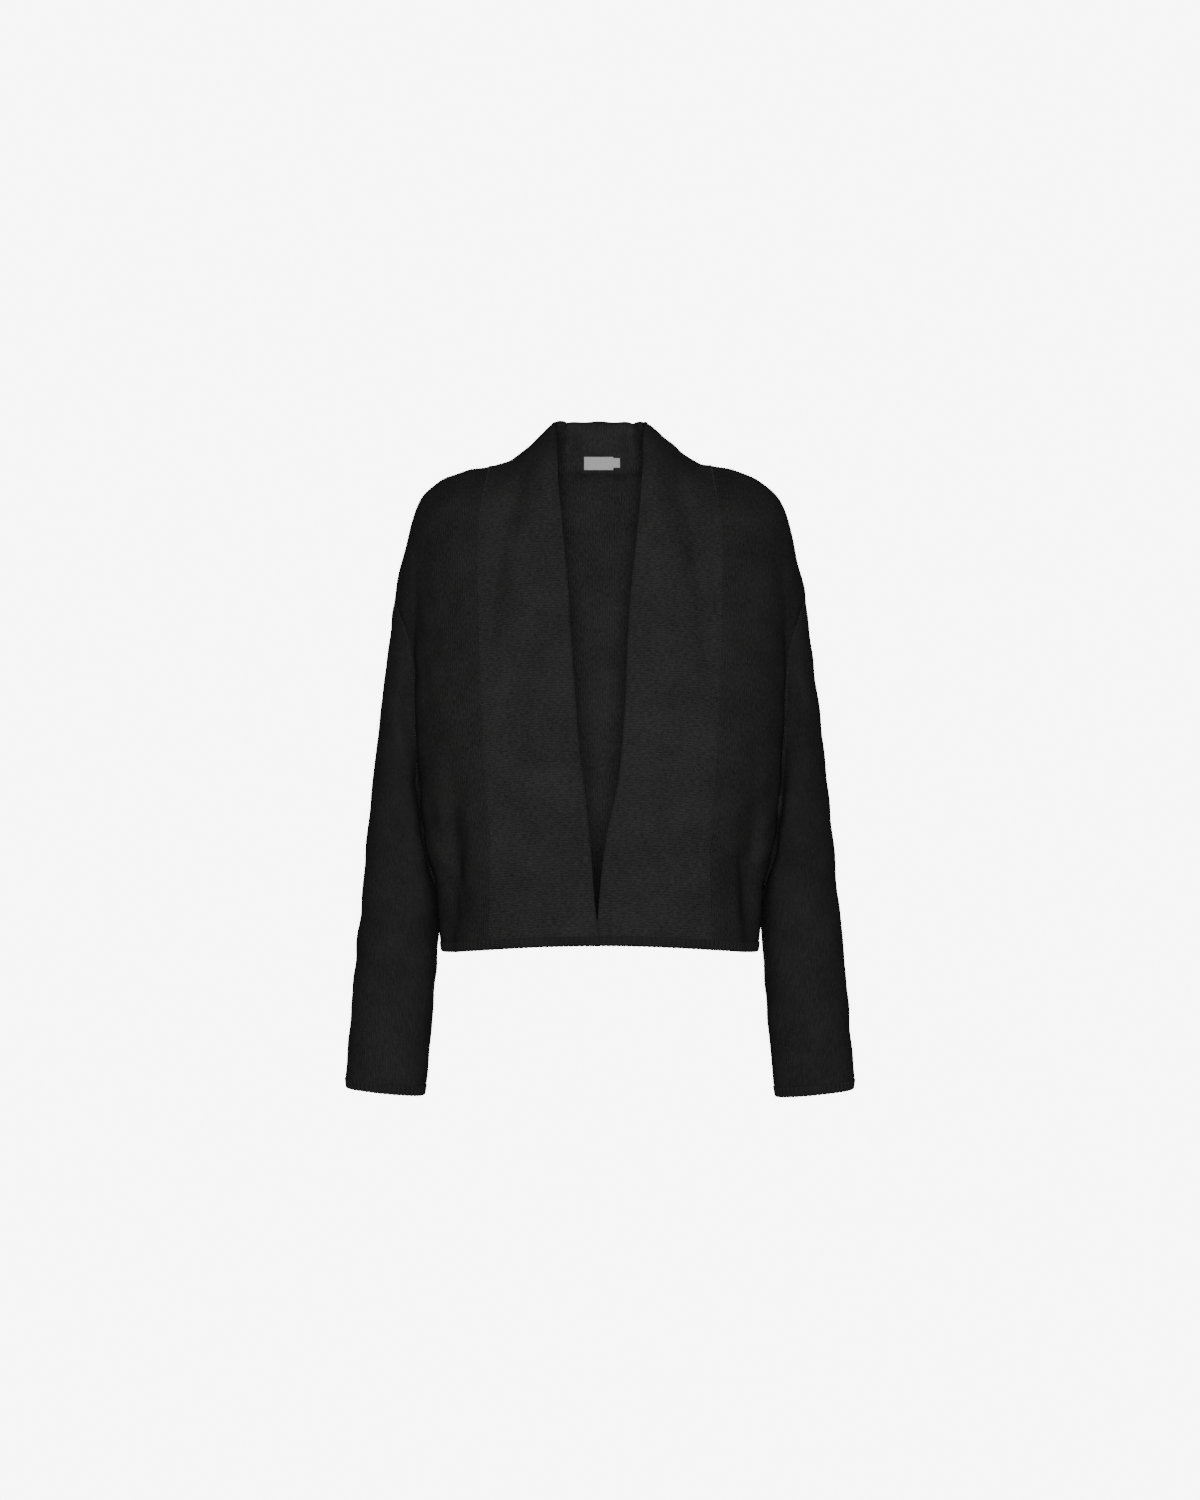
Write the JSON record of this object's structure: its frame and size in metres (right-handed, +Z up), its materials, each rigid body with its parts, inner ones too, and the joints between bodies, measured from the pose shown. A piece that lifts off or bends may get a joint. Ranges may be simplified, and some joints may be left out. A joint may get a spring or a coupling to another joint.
{
  "type": "cardigan",
  "caption": "Open-fronted long-sleeved knitted cardigan with dropped shoulders and a wide collar band, filled out in its worn form with nobody in it.",
  "frame": {"origin": "midway between the two neck points, at the height where the shoulder seams start, where the cardigan rests on the wearer", "axes": "+Z up, +Y towards the wearer's back, +X towards the wearer's left"},
  "size_m": [0.5346, 0.2319, 0.7142],
  "materials": {
    "knit": "brushed wool knit, near-black charcoal, matt with a soft haze of fibres",
    "rib": "fine 1x1 rib in the same yarn, matt",
    "satin": "plain grey woven satin, slightly glossy"
  },
  "bodies": {
    "root": {"back": "knit", "front_left": "knit", "front_right": "knit", "band_left": "knit", "band_right": "knit", "sleeve_left": "knit", "sleeve_right": "knit", "cuff_rib_left": "rib", "cuff_rib_right": "rib", "hem_rib_back": "rib", "hem_rib_front_left": "rib", "hem_rib_front_right": "rib", "hem_rib_band_left": "rib", "hem_rib_band_right": "rib", "neck_label": "satin", "size_tab": "satin"}
  },
  "joints": []
}
